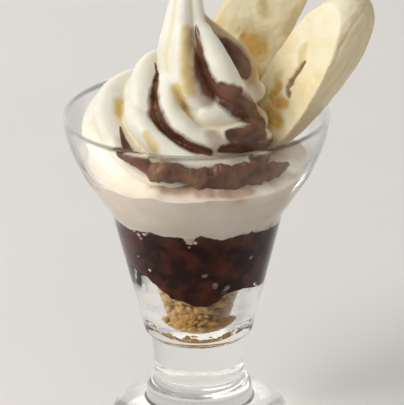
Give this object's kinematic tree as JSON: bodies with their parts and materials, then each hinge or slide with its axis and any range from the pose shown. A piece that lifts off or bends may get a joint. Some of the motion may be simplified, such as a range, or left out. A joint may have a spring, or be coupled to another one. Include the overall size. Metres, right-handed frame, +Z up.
{
  "type": "ice cream sundae",
  "caption": "Ice cream sundae in a short-stemmed clear glass: biscuit crumbs, chocolate and cream in layers, a piped soft-serve swirl with chocolate streaks, and banana leaning over the rim.",
  "frame": {"origin": "centre of the glass foot's flat underside", "axes": "+Z up along the glass's axis, -Y towards the front, +X towards the side that the bananas lean to"},
  "size_m": [0.122, 0.105, 0.1915],
  "materials": {
    "glass": "clear pressed glass",
    "biscuit": "dry crumbs of golden biscuit",
    "chocolate": "glossy dark chocolate",
    "cream": "smooth cream",
    "soft_serve": "smooth soft-serve ice cream",
    "banana": "moist peeled banana"
  },
  "bodies": {
    "root": {"glass": "glass", "crumbs": "biscuit", "chocolate": "chocolate", "cream": "cream", "soft_serve": "soft_serve", "banana_front": "banana", "banana_back": "banana"}
  },
  "joints": []
}
